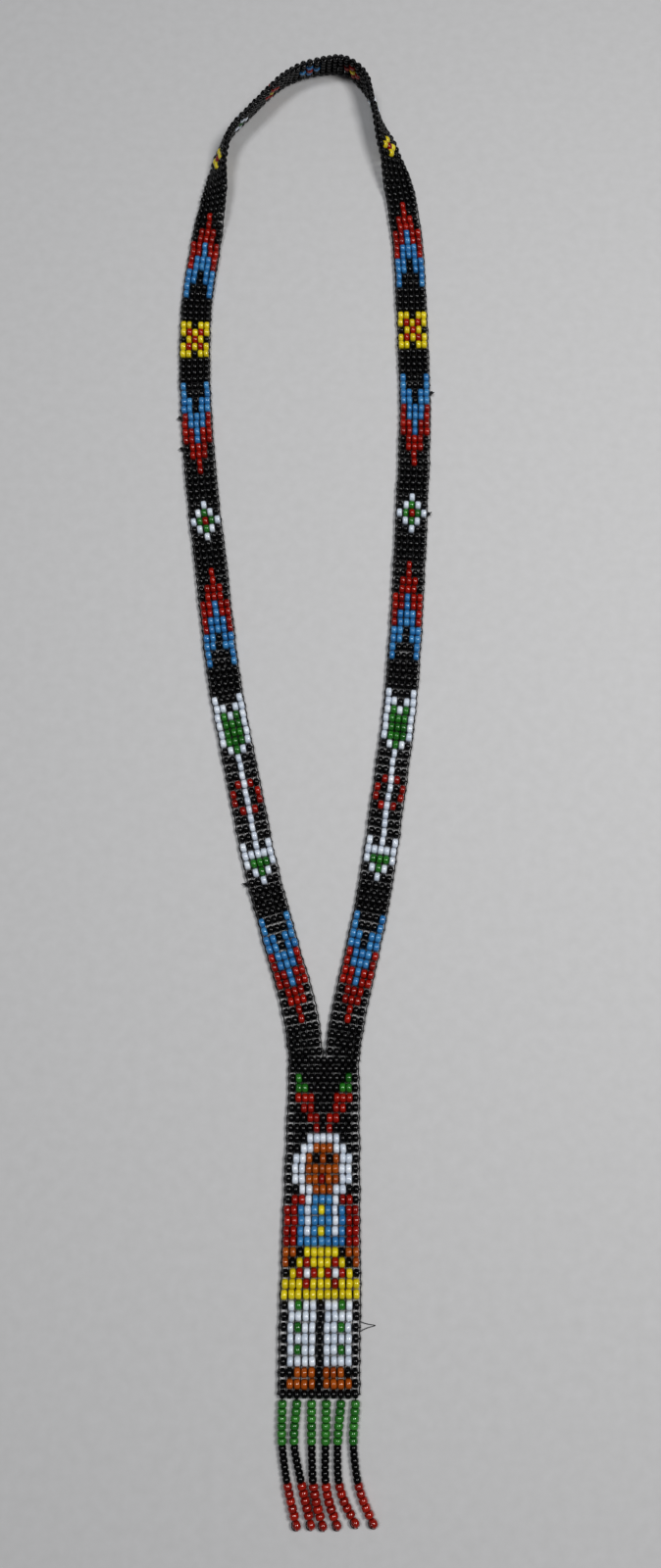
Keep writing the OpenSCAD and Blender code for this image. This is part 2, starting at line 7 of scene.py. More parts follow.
import bpy
import numpy as np
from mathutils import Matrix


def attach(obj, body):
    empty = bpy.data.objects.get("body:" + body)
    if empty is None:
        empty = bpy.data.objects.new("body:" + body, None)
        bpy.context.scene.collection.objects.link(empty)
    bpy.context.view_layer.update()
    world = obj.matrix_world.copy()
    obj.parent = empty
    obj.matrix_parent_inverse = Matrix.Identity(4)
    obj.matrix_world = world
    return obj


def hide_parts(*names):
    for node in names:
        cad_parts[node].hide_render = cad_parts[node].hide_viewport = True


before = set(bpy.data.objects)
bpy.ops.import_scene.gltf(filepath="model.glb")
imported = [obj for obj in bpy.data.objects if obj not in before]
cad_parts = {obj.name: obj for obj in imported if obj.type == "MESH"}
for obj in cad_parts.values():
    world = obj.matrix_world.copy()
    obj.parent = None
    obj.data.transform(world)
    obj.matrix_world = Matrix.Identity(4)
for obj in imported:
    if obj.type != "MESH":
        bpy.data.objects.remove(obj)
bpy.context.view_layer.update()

# ---- Camera: held a forearm's length above the table, over the figure's chest, and tipped a
# little towards the neck, so that the far loop of the band is seen at a slant.
camera_data = bpy.data.cameras.new("camera")
camera_data.sensor_fit = "VERTICAL"
camera_data.sensor_height = 36.0
camera_data.lens = 25.99
camera_data.clip_start = 0.01
camera_data.clip_end = 10.0
camera = bpy.data.objects.new("camera", camera_data)
bpy.context.scene.collection.objects.link(camera)
camera.location = (0.00673, -0.08015, 0.284)
camera.rotation_euler = (math.radians(11.75), 0.0, 0.0)
bpy.context.scene.camera = camera
bpy.context.scene.view_settings.view_transform = "Standard"
bpy.context.scene.view_settings.look = "Medium High Contrast"

# ---- Beads of the panel: pressed glass seed beads, opaque and fire-polished, with a round hole.
# They are woven eleven across on a loom. Each row is threaded on one weft, and the black ones
# are a size smaller than the coloured ones.
MM = 0.001
# Place of the middle of the panel's top row, and the spacing of the band's columns.
LAY = np.array([5.3, -89.9, 1.07])
COLUMN = 1.6
# Radius and half length of beads, and the radius of a black bead among coloured ones.
BLACK_RADIUS, BLACK_HALF = 1.0, 0.66
COLOURED_RADIUS, COLOURED_HALF = 1.18, 0.745
SHARED_RADIUS = 1.17
# Height that a row takes along the weave, and where the band stands on its edge.
ROW = {"black": 1.97, "coloured": 2.3}
TIGHT_ROW = {"black": 1.79, "coloured": 2.17}
FIGURE = (
    "KKKKKKKKKKK KKKKKKKKKKK KGKKKKKKKGK KGGKKKKKGGK KRRRKKKRRRK KKRRKKKRRKK "
    "KKKRRKRRKKK KKKKRKRKKKK KKKWWWWWKKK KKWWOOOWWKK KWWOKOKOWWK KWWOOOOOWWK "
    "KWWOOROOWWK KKWWOOOWWKK KRRWBBBWRRK RRBWBYBWBRR RRBWBBBWBRR RRBWBYBWBRR "
    "RRBBBBBBBRR OOKYYYYYKOO OKYRYYYRYKO KYRWRYRWRYK YYYRYYYRYYY YYYYYYYYYYY "
    "KWGWWKWWGWK KWWWWKWWWWK KWGWWKWWGWK KWWWWKWWWWK KWGWWKWWGWK KWWWWKWWWWK "
    "KKOOOKOOOKK KOOOOKOOOOK KKKKKKKKKKK"
).split()


def heights(rows, row=ROW):
    """An all-black row is lower than a row with coloured beads."""
    return np.array([row["black"] if set(r) == {"K"} else row["coloured"] for r in rows])


def places(tall):
    """Distance of each row from the first: the running sum of the mean heights of neighbours."""
    return np.concatenate([[0.0], np.cumsum((tall[1:] + tall[:-1]) / 2)])


def new_piece(name, points, faces, material, attributes=(), sharp=False):
    """A mesh object from points in millimetres, counted from the middle of the panel's top row."""
    mesh = bpy.data.meshes.new(name)
    mesh.from_pydata(((points + LAY) * MM).tolist(), [], faces)
    for key, values in dict(attributes).items():
        layer = mesh.attributes.new(key, "FLOAT", "POINT")
        layer.data.foreach_set("value", values.astype(np.float32))
    mesh.polygons.foreach_set("use_smooth", np.full(len(mesh.polygons), not sharp))
    mesh.materials.append(material)
    piece = bpy.data.objects.new(name, mesh)
    bpy.context.scene.collection.objects.link(piece)
    return piece


def unit(v):
    """Each vector divided by its own length."""
    return v / np.linalg.norm(v, axis=-1, keepdims=True)


def bead_piece(name, centres, along, facing, radius, half, material, rng):
    """Many beads in one mesh. A bead is a closed outline of six corners, which runs from the
    hole's mouth over the shoulder to the other mouth and back through the hole, turned about
    its hole in nine steps: point = centre + along * z + (facing * cos a + side * sin a) * r.
    Every bead gets its own size, lean and shade."""
    n = len(centres)
    radius = radius * rng.normal(1.0, 0.018, n).clip(0.96, 1.03)
    half = half * rng.normal(0.985, 0.035, n).clip(0.9, 1.02)
    along = unit(along + rng.normal(0, 0.035, (n, 3)))
    facing = unit(facing - along * np.sum(facing * along, axis=1, keepdims=True))
    side = np.cross(along, facing)
    outline = np.array(
        [(0.40, -0.80), (0.70, -1.0), (0.985, -0.6), (0.985, 0.6), (0.70, 1.0), (0.40, 0.80)]
    )
    corners, turns = len(outline), 9
    a = np.arange(turns) * 2 * np.pi / turns + rng.uniform(0, 0.7)
    ring = facing[:, None] * np.cos(a)[None, :, None] + side[:, None] * np.sin(a)[None, :, None]
    r = (outline[:, 0] * radius[:, None])[:, :, None, None]
    z = (outline[:, 1] * half[:, None])[:, :, None, None]
    points = centres[:, None, None] + along[:, None, None] * z + ring[:, None] * r
    k, j = np.meshgrid(np.arange(corners), np.arange(turns), indexing="ij")
    here, there = k * turns, (k + 1) % corners * turns
    after = (j + 1) % turns
    quad = np.stack([here + j, here + after, there + after, there + j], -1).reshape(-1, 4)
    firsts = corners * turns * np.arange(n)
    faces = (quad[None] + firsts[:, None, None]).reshape(-1, 4).tolist()
    tone = np.repeat(rng.uniform(0, 1, n), corners * turns)
    return new_piece(name, points.reshape(-1, 3), faces, material, {"tone": tone})


class Wire:
    """An output in a material's node tree. Sums and products of wires add Math nodes."""

    def __init__(self, tree, socket=None):
        self.tree, self.socket = tree, socket

    def node(self, kind, settings=(), inputs=(), output=0):
        made = self.tree.nodes.new(kind)
        for key, value in dict(settings).items():
            setattr(made, key, value)
        for key, value in dict(inputs).items():
            if isinstance(value, Wire):
                self.tree.links.new(value.socket, made.inputs[key])
            else:
                made.inputs[key].default_value = value
        return Wire(self.tree, made.outputs[output])

    def math(self, operation, *values):
        return self.node("ShaderNodeMath", {"operation": operation}, dict(enumerate(values)))

    def __add__(self, other):
        return self.math("ADD", self, other)

    __radd__ = __add__

    def __sub__(self, other):
        return self.math("SUBTRACT", self, other)

    def __rsub__(self, other):
        return self.math("SUBTRACT", other, self)

    def __mul__(self, other):
        return self.math("MULTIPLY", self, other)

    __rmul__ = __mul__

    def __pow__(self, other):
        return self.math("POWER", self, other)

    def mix(self, dark, light):
        """A colour that goes from dark to light as this wire goes from 0 to 1."""
        kind = {"data_type": "RGBA", "clamp_factor": True}
        return self.node("ShaderNodeMix", kind, {0: self, 6: dark, 7: light}, 2)


def new_material(name):
    """A material, a wire to build its nodes on, and its shader."""
    material = bpy.data.materials.new(name)
    material.use_nodes = True
    tree = material.node_tree
    return material, Wire(tree), tree.nodes["Principled BSDF"]


def linear(hue):
    """Screen colour, as three numbers from 0 to 255, to scene-linear light."""
    c = np.array(hue) / 255
    c = np.where(c <= 0.04045, c / 12.92, ((c + 0.055) / 1.055) ** 2.4)
    return (*c.tolist(), 1.0)


def glass(name, deep, bright, rough=0.16, coat=0.5, milk=0.0, level=0.5):
    """Opaque glass: the shade goes from deep to bright from bead to bead and in faint swirls
    inside each one, and the surface has the slight ripple and scuffs of worn beads."""
    material, wire, shader = new_material(name)
    place = wire.node("ShaderNodeTexCoord", output="Object")
    tone = wire.node("ShaderNodeAttribute", {"attribute_name": "tone"}, output="Fac")
    swirl = wire.node("ShaderNodeTexNoise", {}, {"Vector": place, "Scale": 900.0, "Detail": 2.0})
    scuff = wire.node("ShaderNodeTexNoise", {}, {"Vector": place, "Scale": 4200.0, "Detail": 3.0})
    shade = tone * 0.75 + (swirl - 0.5) * 0.7 + 0.1
    tree = material.node_tree
    tree.links.new(shade.mix(linear(deep), linear(bright)).socket, shader.inputs["Base Color"])
    tree.links.new((scuff * 0.16 + (rough - 0.08)).socket, shader.inputs["Roughness"])
    bump = {"Strength": 0.35, "Distance": 0.00006, "Height": swirl + scuff * 0.25}
    ripple = wire.node("ShaderNodeBump", {}, bump, "Normal")
    tree.links.new(ripple.socket, shader.inputs["Normal"])
    shader.inputs["Coat Weight"].default_value = coat
    shader.inputs["Coat Roughness"].default_value = 0.08
    shader.inputs["IOR"].default_value = 1.52
    shader.inputs["Specular IOR Level"].default_value = level
    if milk:
        shader.inputs["Subsurface Weight"].default_value = milk
        shader.inputs["Subsurface Radius"].default_value = (0.6, 0.7, 0.8)
        shader.inputs["Subsurface Scale"].default_value = 0.0006
    return material


GLASS = {
    "K": glass("black_glass", (4, 4, 5), (10, 9, 11), rough=0.22, coat=0.2, level=0.3),
    "R": glass("red_glass", (122, 13, 4), (168, 28, 9), rough=0.18, coat=0.3),
    "G": glass("green_glass", (27, 90, 26), (50, 128, 42), rough=0.16),
    "B": glass("blue_glass", (44, 113, 170), (74, 143, 193), rough=0.2, coat=0.5),
    "W": glass("white_glass", (198, 208, 222), (228, 234, 242), rough=0.2, coat=0.5, milk=0.2),
    "Y": glass("yellow_glass", (205, 186, 18), (232, 214, 40), rough=0.2, coat=0.5),
    "O": glass("orange_glass", (146, 66, 9), (178, 92, 18), rough=0.18),
}
# Rows of coloured beads stand a little further apart, and most of all in the legs.
EXTRA = np.repeat([0.0, 0.03, 0.11, 0.0], [2, 22, 8, 1])
FIGURE_Y = -places(heights(FIGURE) + EXTRA)
# The panel is a little narrower at the top, where all the beads are small, and it leans.
WAIST, BOTTOM = 23, len(FIGURE) - 1
FIGURE_ROWS = np.arange(BOTTOM + 1)
FIGURE_PITCH = np.interp(FIGURE_ROWS, [0, WAIST], [1.5, 1.68])
FIGURE_X = np.interp(FIGURE_ROWS, [0, BOTTOM], [-0.1, -1.25])
FIGURE_X += np.random.default_rng(5).normal(0, 0.07, BOTTOM + 1)


def radius_of(letter):
    return BLACK_RADIUS if letter == "K" else COLOURED_RADIUS


def half_of(letter):
    return BLACK_HALF if letter == "K" else COLOURED_HALF


def panel_beads(node, body, letter, rows, columns=range(11), skip=()):
    """The beads of one colour of the rows and columns named, as one piece for one CAD node."""
    rng = np.random.default_rng(len(node) * 7 + sum(map(ord, node)))
    at = [(i, c) for i in rows for c in columns if FIGURE[i][c] == letter and (i, c) not in skip]
    i, c = np.array(at).T
    centres = np.stack([FIGURE_X[i] + (c - 5) * FIGURE_PITCH[i], FIGURE_Y[i], 0 * i], -1)
    centres = centres + rng.normal(0, 0.035, (len(at), 3))
    radius = np.full(len(at), radius_of(letter))
    if letter == "K":
        # Black beads that share a row with coloured ones are larger, except down the edges.
        radius[(i > 1) & (i < BOTTOM) & (c > 0) & (c < 10)] = SHARED_RADIUS
    along, facing = np.tile([1.0, 0.0, 0.0], (len(at), 1)), np.tile([0.0, 0.0, 1.0], (len(at), 1))
    name = node.replace("_beads", "").replace("_bead", "") + "_glass"
    piece = bead_piece(
        name, centres, along, facing, radius, half_of(letter), GLASS[letter], rng
    )
    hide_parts(node)
    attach(piece, body)


EYES = {(10, 4), (10, 6)}
panel_beads("figure_black_beads", "figure", "K", range(0, 24), skip=EYES)
panel_beads("leaf_green_beads", "figure", "G", range(2, 4))
panel_beads("crest_red_beads", "figure", "R", range(4, 8))
panel_beads("hair_white_beads", "figure", "W", range(8, 14))
panel_beads("face_orange_beads", "figure", "O", range(9, 14))
panel_beads("eye_black_beads", "figure", "K", [10], columns=[4, 6])
panel_beads("mouth_red_bead", "figure", "R", [12])
panel_beads("sleeve_red_beads", "figure", "R", range(14, 19))
panel_beads("shirt_blue_beads", "figure", "B", range(14, 19))
panel_beads("shirt_white_beads", "figure", "W", range(14, 18))
panel_beads("button_yellow_beads", "figure", "Y", range(15, 18))
panel_beads("hand_orange_beads", "figure", "O", range(19, 21))
panel_beads("sash_yellow_beads", "figure", "Y", range(19, 24))
panel_beads("sash_red_beads", "figure", "R", range(20, 24))
panel_beads("sash_white_beads", "figure", "W", range(20, 24))
panel_beads("legs_black_beads", "legs", "K", range(24, 33))
panel_beads("trouser_white_beads", "legs", "W", range(24, 33))
panel_beads("trouser_green_beads", "legs", "G", range(24, 33))
panel_beads("foot_orange_beads", "legs", "O", range(24, 33))

# ---- Beads of the band: the same glass, woven five across in one long strip. The pattern reads
# up from the panel, is turned about at the back of the neck and comes down the same. The strip
# lies flat up both sides and rolls on to its edge round the neck.
ARROW = "KKRKK KKRKK KRRRK KRRRK RRBRR RRBRR RBBBR RBBBR BBKBB BBKBB BKKKB BKKKB".split()
SHIELD = (
    "KKWKK KWGWK WGGGW WWWWW WKWKW KKWKK KKWKK KKWKK KRWRK RKWKR RKWKR KRWRK "
    "KKWKK KKWKK KKWKK KWGWK WGGGW WGGGW WGGGW WGWGW WWKWW WKKKW"
).split()
WINDOW = "YYKYY YRYRY KYRYK YRYRY YYKYY".split()
BLOSSOM = "KKWKK KWGWK WGRGW KWGWK KKWKK".split()


def flower(petal, heart):
    return [f"KK{petal}KK", f"K{petal}{heart}{petal}K", f"KK{petal}KK"]


GAP = ["KKKKK"] * 4
SIDE = (
    GAP + ARROW + GAP + SHIELD + GAP + ARROW[::-1] + GAP + BLOSSOM + GAP + ARROW
    + GAP + WINDOW + GAP + ARROW[::-1] + ["KKKKK"] * 7 + flower("Y", "R") + GAP
    + flower("W", "G") + GAP + flower("R", "Y") + GAP
)
BAND = SIDE + flower("B", "R") + SIDE[::-1]
LAST = len(BAND) - 1
FOLD = 84

# Stops along the band's centre line: x, y, heading clockwise from +Y, roll on to the edge.
SPAN = 60.5
LEFT_FOLD = (-36, 184.5, -2.5, 0)
LEFT_EDGE = (-30.2, 250, 10, 58)
RIGHT_EDGE = (17.9, 254.6, 165, 42)
RIGHT_FOLD = (-36 + SPAN, 184.5 + SPAN * math.tan(math.radians(2.5)), 177.5, 0)
GOING_UP = [
    (-4.6, 0, 0, 0), (-6.5, 13, -13, 0), (-14.5, 41, -14, 0), (-24.5, 87, -12, 0),
    (-30.5, 129, -8, 0), LEFT_FOLD,
]
TURNING_IN = [LEFT_FOLD, (-35.7, 209, 4, 0), (-33.5, 227, 7, 0), (-31.9, 237, 7, 25), LEFT_EDGE]
ROUND_THE_NECK = [
    LEFT_EDGE, (-28.4, 256.5, 22, 68), (-23.8, 263.5, 41, 67), (-14.8, 274, 43, 67),
    (-3, 280.8, 78, 70), (4.6, 281.6, 96, 74), (10.6, 277, 142, 84), (14.5, 265.5, 163, 74),
    RIGHT_EDGE,
]
TURNING_OUT = [RIGHT_EDGE, (21.5, 240, 170, 2), (22.9, 229, 174, 0), (24.1, 206, 178, 0), RIGHT_FOLD]
GOING_DOWN = [
    RIGHT_FOLD, (24, 158, 182.5, 0), (21.3, 112, 184, 0), (18.5, 82, 188, 0), (12.2, 40, 190, 0),
    (6.3, 13, 192, 0), (4.4, 0, 180, 0),
]


def rows_along(stops, tall):
    """Rows set out along cubic curves through the stops, each curve pulled along the headings
    at its two ends by the length of its chord, and spread evenly to fill the whole length.
    Returns x, y, heading and roll of every row."""
    s = np.array(stops, float)
    t = np.arange(12) / 12
    e = 3 * t**2 - 2 * t**3
    p, q = s[:-1, None, :2], s[1:, None, :2]
    pull = np.linalg.norm(q - p, axis=2, keepdims=True)
    h = np.radians(s[:, 2])
    way = np.stack([np.sin(h), np.cos(h)], -1)[:, None]
    leave, arrive = (t**3 - 2 * t**2 + t)[None, :, None], (t**3 - t**2)[None, :, None]
    chord = (1 - e)[None, :, None] * p + e[None, :, None] * q
    line = chord + pull * (leave * way[:-1] + arrive * way[1:])
    line = np.concatenate([line.reshape(-1, 2), s[-1:, :2]])
    roll = (s[:-1, 3:] + (s[1:, 3:] - s[:-1, 3:]) * e[None]).ravel()
    roll = np.append(roll, s[-1, 3])
    run = np.concatenate([[0.0], np.cumsum(np.linalg.norm(np.diff(line, axis=0), axis=1))])
    at = places(tall)
    at = at * run[-1] / at[-1]
    lo, hi = np.clip(at - 0.3, 0, None), np.clip(at + 0.3, None, run[-1])
    dx = np.interp(hi, run, line[:, 0]) - np.interp(lo, run, line[:, 0])
    dy = np.interp(hi, run, line[:, 1]) - np.interp(lo, run, line[:, 1])
    return np.stack(
        [np.interp(at, run, line[:, 0]), np.interp(at, run, line[:, 1]), np.arctan2(dx, dy),
         np.radians(np.interp(at, run, roll))], -1
    )


EDGE = 116
TOP_ROW = np.array([ROW["black"]])
up = rows_along(GOING_UP, np.concatenate([TOP_ROW, heights(BAND[: FOLD + 1])]))
turn_in = rows_along(TURNING_IN, heights(BAND[FOLD : EDGE + 1]))
over = rows_along(ROUND_THE_NECK, heights(BAND[EDGE : LAST - EDGE + 1], TIGHT_ROW))
turn_out = rows_along(TURNING_OUT, heights(BAND[LAST - EDGE : LAST - FOLD + 1]))
down = rows_along(GOING_DOWN, np.concatenate([heights(BAND[LAST - FOLD :]), TOP_ROW]))
laid = np.concatenate([up, turn_in[1:], over[1:], turn_out[1:], down[1:]])
# Row 0 of these is the panel's top row under the left strap, so BAND's rows count from 1.
heading, roll = laid[:, 2], laid[:, 3]
# The centre line rises as the band rolls, from half a bead to half the band's width.
HALF_BEAD, HALF_BAND = 1.05, 2.5 * COLUMN
EDGE_WARP_OUT = 0.12
lift = HALF_BEAD * np.cos(roll) + (HALF_BAND + EDGE_WARP_OUT) * np.sin(roll) - HALF_BEAD
row_at = np.stack([laid[:, 0], laid[:, 1], lift], -1)
row_across = np.stack(
    [np.cos(heading) * np.cos(roll), -np.sin(heading) * np.cos(roll), np.sin(roll)], -1
)
row_face = np.stack(
    [-np.cos(heading) * np.sin(roll), np.sin(heading) * np.sin(roll), np.cos(roll)], -1
)
row_at += row_across * np.random.default_rng(6).normal(0, 0.06, (len(row_at), 1))


def band_beads(node, body, letter, rows):
    """The beads of one colour in the rows named of the band, as one piece for one CAD node."""
    rng = np.random.default_rng(sum(map(ord, node)))
    at = [(i + 1, c) for i in rows for c in range(5) if BAND[i][c] == letter]
    i, c = np.array(at).T
    centres = row_at[i] + row_across[i] * ((c - 2) * COLUMN)[:, None]
    centres = centres + rng.normal(0, 0.035, (len(at), 3))
    piece = bead_piece(
        node.replace("_beads", "_glass"), centres, row_across[i], row_face[i],
        radius_of(letter), half_of(letter), GLASS[letter], rng,
    )
    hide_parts(node)
    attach(piece, body)


STRAP_ROWS = [*range(FOLD + 1), *range(LAST - FOLD, LAST + 1)]
NECK_ROWS = range(FOLD + 1, LAST - FOLD)
for word, letter in (("black", "K"), ("red", "R"), ("blue", "B"), ("white", "W"), ("green", "G")):
    band_beads(f"strap_{word}_beads", "straps", letter, STRAP_ROWS)
    band_beads(f"neck_{word}_beads", "neck", letter, NECK_ROWS)
band_beads("neck_yellow_beads", "neck", "Y", NECK_ROWS)

# ---- Warp and weft: black waxed polyester thread. Six warps run up the band and twelve up the
# panel, one in each gap between columns and one down each edge, and the weft comes out past
# the last bead of each row and turns round the edge warp.
thread_black, wire, shader = new_material("black_thread")
uv = wire.node("ShaderNodeUVMap", {"uv_map": "lay"}, output="UV")
run = wire.node("ShaderNodeSeparateXYZ", {}, {0: uv}, 0)
turn = wire.node("ShaderNodeSeparateXYZ", {}, {0: uv}, 1)
slant = run * 1.6 + turn * 2.0
ply = slant.math("FRACT", slant)
ridge = ply.math("PINGPONG", ply, 0.5) * 2.0
place = wire.node("ShaderNodeTexCoord", output="Object")
fuzz = wire.node("ShaderNodeTexNoise", {}, {"Vector": place, "Scale": 5200.0, "Detail": 3.0})
# Base colour: darker in the grooves between the plies and lighter on their ridges, which is painted
# shade following the twist, with a random fuzz of tone on top.
groove_shade_and_fuzz = (ridge * 0.6 + fuzz * 0.5).mix((0.002, 0.002, 0.003, 1), (0.014, 0.014, 0.016, 1))
bump = {"Strength": 0.6, "Distance": 0.00005, "Height": ridge + fuzz * 0.4}
twist = wire.node("ShaderNodeBump", {}, bump, "Normal")
tree = thread_black.node_tree
tree.links.new(groove_shade_and_fuzz.socket, shader.inputs["Base Color"])
tree.links.new((fuzz * 0.3 + 0.42).socket, shader.inputs["Roughness"])
tree.links.new(twist.socket, shader.inputs["Normal"])


def tubes(name, paths, normals, radius, body, replaces=(), sides=6):
    """Threads in one mesh: each is a ring of points carried along its path, point = path +
    (normal * cos a + side * sin a) * radius, closed by a flat end. The lay map runs along the
    thread in turns of its own width, and once round it."""
    points, faces, lays, base = [], [], [], 0
    a = np.arange(sides) * 2 * np.pi / sides
    for path, normal in zip(paths, normals):
        n = len(path)
        tangent = unit(np.gradient(path, axis=0))
        side = unit(np.cross(tangent, normal))
        face = np.cross(side, tangent)
        ring = face[:, None] * np.cos(a)[None, :, None] + side[:, None] * np.sin(a)[None, :, None]
        points.append((path[:, None] + ring * radius).reshape(-1, 3))
        i, j = np.meshgrid(np.arange(n - 1), np.arange(sides), indexing="ij")
        here, there, after = i * sides, (i + 1) * sides, (j + 1) % sides
        quad = np.stack([here + j, there + j, there + after, here + after], -1).reshape(-1, 4)
        faces += (quad + base).tolist()
        steps = np.linalg.norm(np.diff(path, axis=0), axis=1)
        run = np.concatenate([[0.0], np.cumsum(steps)]) / (2 * radius)
        u = np.stack([run[i], run[i + 1], run[i + 1], run[i]], -1).reshape(-1)
        v = np.stack([j, j, j + 1, j + 1], -1).reshape(-1) / sides
        lays.append(np.stack([u, v], -1))
        faces.append([base + k for k in range(sides)])
        faces.append([base + (n - 1) * sides + k for k in reversed(range(sides))])
        lays.append(np.zeros((2 * sides, 2)))
        base += n * sides
    piece = new_piece(name, np.concatenate(points), faces, thread_black)
    lay = np.concatenate(lays).ravel().astype(np.float32)
    piece.data.uv_layers.new(name="lay").data.foreach_set("uv", lay)
    if replaces:
        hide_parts(*replaces)
    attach(piece, body)
    return piece


def refine(values, steps):
    """Points put between the given ones on straight lines, steps to each gap."""
    t = np.arange(0, (len(values) - 1) * steps + 1) / steps
    whole = np.arange(len(values))
    return np.stack([np.interp(t, whole, column) for column in values.T], -1), t


def edge_path(at, across, face, reach, rng):
    """The edge warp bows out where each row's weft pulls on it, and back in between rows."""
    at, t = refine(at, 4)
    across, face = refine(across, 4)[0], refine(face, 4)[0]
    rows = np.arange(int(t[-1]) + 1)
    uneven = np.interp(t, rows, rng.normal(0, 0.05, len(rows)))
    bow = 0.10 * np.cos(2 * np.pi * t) + uneven
    drop = np.interp(t, rows, rng.normal(0, 0.08, len(rows)))
    path = at + across * (reach + bow * np.sign(reach))[:, None] + face * drop[:, None]
    return path, face


def weft_turns(at, across, face, reach):
    """Each row's weft leaves the edge bead's hole and goes once round the edge warp, as a loop
    in the plane across the band: a short arm out, a half turn up and over, and an arm back."""
    a = np.linspace(-0.5 * np.pi, 0.5 * np.pi, 5)
    out = np.concatenate([[-0.55], 0.17 * np.cos(a), [-0.55]])
    high = np.concatenate([[-0.10], 0.26 * np.sin(a), [0.10]])
    out = reach + np.sign(reach) * out
    paths = at[:, None] + across[:, None] * out[None, :, None] + face[:, None] * high[None, :, None]
    along = np.cross(across, face)
    normals = np.repeat(along[:, None], 7, axis=1)
    return list(paths), list(normals)


# Radii of a warp in a gap, a warp down an edge, one pass of weft, and the two passes in a row.
INNER_WARP, EDGE_WARP, WEFT_TURN, WEFT = 0.11, 0.16, 0.11, 0.27


def net(name, at, across, face, columns, body, replaces=(), seed=1):
    """The thread of one stretch of weave, from its rows' places, directions across and faces."""
    rng = np.random.default_rng(seed)
    half = columns / 2 * COLUMN
    inner = [
        refine(at + across * (gap - columns / 2) * COLUMN, 2)[0] for gap in range(1, columns)
    ]
    inner_up = [refine(face, 2)[0]] * len(inner)
    tubes(name + "_inner_warps", inner, inner_up, INNER_WARP, body, replaces)
    reaches = [s * (half + EDGE_WARP_OUT) for s in (-1, 1)]
    edges = [edge_path(at, across, face, reach, rng) for reach in reaches]
    tubes(name + "_edge_warps", [e[0] for e in edges], [e[1] for e in edges], EDGE_WARP, body)
    turns, normals = [], []
    for reach in reaches:
        paths, ways = weft_turns(at, across, face, reach)
        turns += paths
        normals += ways
    tubes(name + "_weft_turns", turns, normals, WEFT_TURN, body, sides=5)
    weft = [np.stack([a - c * half, a + c * half]) for a, c in zip(at, across)]
    tubes(name + "_wefts", weft, [np.stack([f, f]) for f in face], WEFT, body, sides=5)


panel_at = np.stack([FIGURE_X, FIGURE_Y, 0 * FIGURE_Y], -1)
panel_across = np.outer(FIGURE_PITCH / COLUMN, [1.0, 0.0, 0.0])
panel_face = np.tile([0.0, 0.0, 1.0], (BOTTOM + 1, 1))
top, low = slice(0, WAIST + 1), slice(WAIST, BOTTOM + 1)
net("figure", panel_at[top], panel_across[top], panel_face[top], 11, "figure", ["figure_net"], 11)
net("legs", panel_at[low], panel_across[low], panel_face[low], 11, "legs", ["legs_net"], 12)
left = slice(0, FOLD + 2)
neck = slice(FOLD + 1, LAST - FOLD + 2)
right = slice(LAST - FOLD + 1, LAST + 3)
net("strap_left", row_at[left], row_across[left], row_face[left], 5, "straps", ["strap_net"], 13)
net("strap_right", row_at[right], row_across[right], row_face[right], 5, "straps", (), 14)
net("neck", row_at[neck], row_across[neck], row_face[neck], 5, "neck", ["neck_net"], 15)

# ---- Knots on the straps' edges: where one length of weft ran out, its end was tied to the
# next in a small overhand knot and trimmed short.
# Each one's path is a trefoil, sin t + 2 sin 2t by cos t - 2 cos 2t, that rises and falls by
# sin 3t, and its tail runs straight out and droops.
KNOT, KNOT_RISE, KNOT_OUT = 0.30, 0.22, 0.55
t = np.linspace(0, 2 * np.pi, 25)
knots = []
for k, row in enumerate([20, 74, 78, LAST - 80, LAST - 64]):
    out, upward = -row_across[row + 1], row_face[row + 1]
    lie = np.cross(row_face[row + 1], row_across[row + 1])
    centre = row_at[row + 1] + out * (HALF_BAND + KNOT_OUT)
    knots.append(
        centre
        + out * (KNOT * (np.sin(t) + 2 * np.sin(2 * t)) / 2)[:, None]
        + lie * (KNOT * (np.cos(t) - 2 * np.cos(2 * t)) / 2)[:, None]
        - upward * (KNOT_RISE * np.sin(3 * t))[:, None]
    )
    tail = np.linspace(0, 1, 25)[:, None]
    course = out * 0.55 + lie * (0.5 - 0.3 * k)
    knots.append(centre + out * 0.2 + course * tail - upward * 0.3 * tail**2)
tilted = [np.tile([0.1, 0.2, 1.0], (25, 1))] * len(knots)
tubes("strap_knots_thread", knots, tilted, 0.15, "straps", ["strap_knots"])

# ---- Loose loop: at one side of the legs the weft was not pulled tight, and a bight of it
# stands out from the edge as a thin flat loop that droops on to the table.
t = np.linspace(0, np.pi, 25)
LOOP_ROW, LOOP_REACH = 26, 3.7
bight = np.stack(
    [
        FIGURE_X[LOOP_ROW] + 5.5 * FIGURE_PITCH[LOOP_ROW] + 0.05 + LOOP_REACH * np.sin(t),
        FIGURE_Y[LOOP_ROW] + 0.2 + np.cos(t) * (0.28 + 0.9 * (1 - np.sin(t)) ** 2),
        0.1 - 1.0 * np.sin(t) ** 0.7,
    ], -1
)
tubes("legs_loose_loop", [bight], [np.tile([0.0, 0.0, 1.0], (25, 1))], 0.085, "legs")

# ---- Fringe: six strands threaded down from the panel's lower edge, each with green, black and
# red beads in a line. The last red bead is a stop: the thread goes round it and back up.
STRANDS = [
    (0, 181, 171, 164), (2, 186, 167, 165), (4, 180, 178, 162),
    (6, 181, 181, 158), (8, 186, 179, 149), (10, 185, 173, 153),
]
IN_LINE, OF_ONE_COLOUR = 17, 6
# Distances between neighbouring beads: green, green to black, black, black to red, and red.
STRAND_PITCH = np.repeat([1.55, 1.435, 1.32, 1.435, 1.55], [5, 1, 5, 1, 4])
# Drop from the panel's bottom row to a strand's first bead, and from its last to the stop.
FIRST_BEAD, STOP_DROP = 2.05, 2.0
